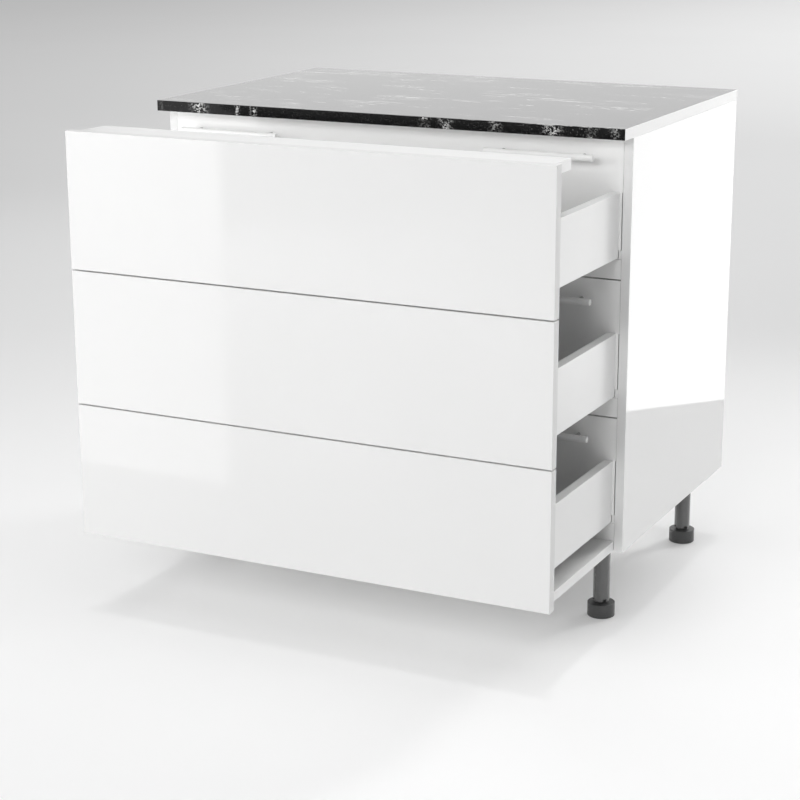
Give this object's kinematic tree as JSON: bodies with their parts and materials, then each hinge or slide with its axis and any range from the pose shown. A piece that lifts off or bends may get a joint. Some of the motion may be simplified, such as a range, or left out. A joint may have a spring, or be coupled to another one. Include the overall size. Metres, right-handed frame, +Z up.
{
  "type": "base cabinet with drawers",
  "caption": "Kitchen base cabinet with stone-look worktop, adjustable legs and pull-out drawers on concealed runners, shown with the drawers pulled out.",
  "frame": {"origin": "middle of the footprint at floor level, with the drawers pulled out", "axes": "+X to the right seen from the front, +Y from the drawer fronts to the back, +Z up"},
  "size_m": [0.9, 0.885, 0.884],
  "materials": {
    "lacquer": "high gloss white",
    "board": "white melamine-faced board, satin",
    "stone": "polished, black with pale veins",
    "steel": "zinc-plated sheet",
    "coated": "white coated steel",
    "satin": "satin bar",
    "leg": "dark, glossy",
    "foot": "dark grey, matt"
  },
  "bodies": {
    "carcass": {"worktop": "stone", "side_panel_left": "lacquer", "side_panel_right": "lacquer", "back_panel": "board", "bottom_panel": "board", "rear_top_rail": "board", "leg_plate_front_left": "steel", "leg_front_left": "leg", "leg_plate_front_right": "steel", "leg_front_right": "leg", "leg_plate_rear_left": "steel", "leg_rear_left": "leg", "leg_plate_rear_right": "steel", "leg_rear_right": "leg", "top_runner_fixed_left": "coated", "top_runner_fixed_right": "coated", "middle_runner_fixed_left": "coated", "middle_runner_fixed_right": "coated", "lower_runner_fixed_left": "coated", "lower_runner_fixed_right": "coated"},
    "top_drawer": {"top_front": "lacquer", "top_side_left": "board", "top_side_right": "board", "top_bottom": "board", "top_back": "lacquer", "top_handle_left": "satin", "top_handle_right": "satin", "top_runner_drawer_left": "coated", "top_runner_drawer_right": "coated", "crossrail": "board"},
    "top_runner_middles": {"top_runner_middle_left": "coated", "top_runner_middle_right": "coated"},
    "middle_drawer": {"middle_front": "lacquer", "middle_side_left": "board", "middle_side_right": "board", "middle_bottom": "board", "middle_back": "lacquer", "middle_handle_left": "satin", "middle_handle_right": "satin", "middle_runner_drawer_left": "coated", "middle_runner_drawer_right": "coated"},
    "middle_runner_middles": {"middle_runner_middle_left": "coated", "middle_runner_middle_right": "coated"},
    "lower_drawer": {"lower_front": "lacquer", "lower_side_left": "board", "lower_side_right": "board", "lower_bottom": "board", "lower_back": "lacquer", "lower_handle_left": "satin", "lower_handle_right": "satin", "lower_runner_drawer_left": "coated", "lower_runner_drawer_right": "coated", "deck_board": "board"},
    "lower_runner_middles": {"lower_runner_middle_left": "coated", "lower_runner_middle_right": "coated"},
    "foot_front_left_body": {"foot_front_left": "foot"},
    "foot_front_right_body": {"foot_front_right": "foot"},
    "foot_rear_left_body": {"foot_rear_left": "foot"},
    "foot_rear_right_body": {"foot_rear_right": "foot"}
  },
  "joints": [
    {"name": "top_drawer_slide", "type": "slide", "parent": "carcass", "child": "top_drawer", "axis": [0, -1, 0], "range_m": [-0.306, 0]},
    {"name": "top_runner_slide", "type": "slide", "parent": "carcass", "child": "top_runner_middles", "axis": [0, -1, 0], "range_m": [-0.153, 0]},
    {"name": "middle_drawer_slide", "type": "slide", "parent": "carcass", "child": "middle_drawer", "axis": [0, -1, 0], "range_m": [-0.306, 0]},
    {"name": "middle_runner_slide", "type": "slide", "parent": "carcass", "child": "middle_runner_middles", "axis": [0, -1, 0], "range_m": [-0.153, 0]},
    {"name": "lower_drawer_slide", "type": "slide", "parent": "carcass", "child": "lower_drawer", "axis": [0, -1, 0], "range_m": [-0.306, 0]},
    {"name": "lower_runner_slide", "type": "slide", "parent": "carcass", "child": "lower_runner_middles", "axis": [0, -1, 0], "range_m": [-0.153, 0]},
    {"name": "foot_front_left_height", "type": "slide", "parent": "carcass", "child": "foot_front_left_body", "axis": [0, 0, -1], "range_m": [-0.003, 0.015]},
    {"name": "foot_front_right_height", "type": "slide", "parent": "carcass", "child": "foot_front_right_body", "axis": [0, 0, -1], "range_m": [-0.003, 0.015]},
    {"name": "foot_rear_left_height", "type": "slide", "parent": "carcass", "child": "foot_rear_left_body", "axis": [0, 0, -1], "range_m": [-0.003, 0.015]},
    {"name": "foot_rear_right_height", "type": "slide", "parent": "carcass", "child": "foot_rear_right_body", "axis": [0, 0, -1], "range_m": [-0.003, 0.015]}
  ],
  "couplings": [
    {"joint": "top_runner_slide", "follows": "top_drawer_slide", "ratio": 0.5},
    {"joint": "middle_runner_slide", "follows": "middle_drawer_slide", "ratio": 0.5},
    {"joint": "lower_runner_slide", "follows": "lower_drawer_slide", "ratio": 0.5}
  ]
}
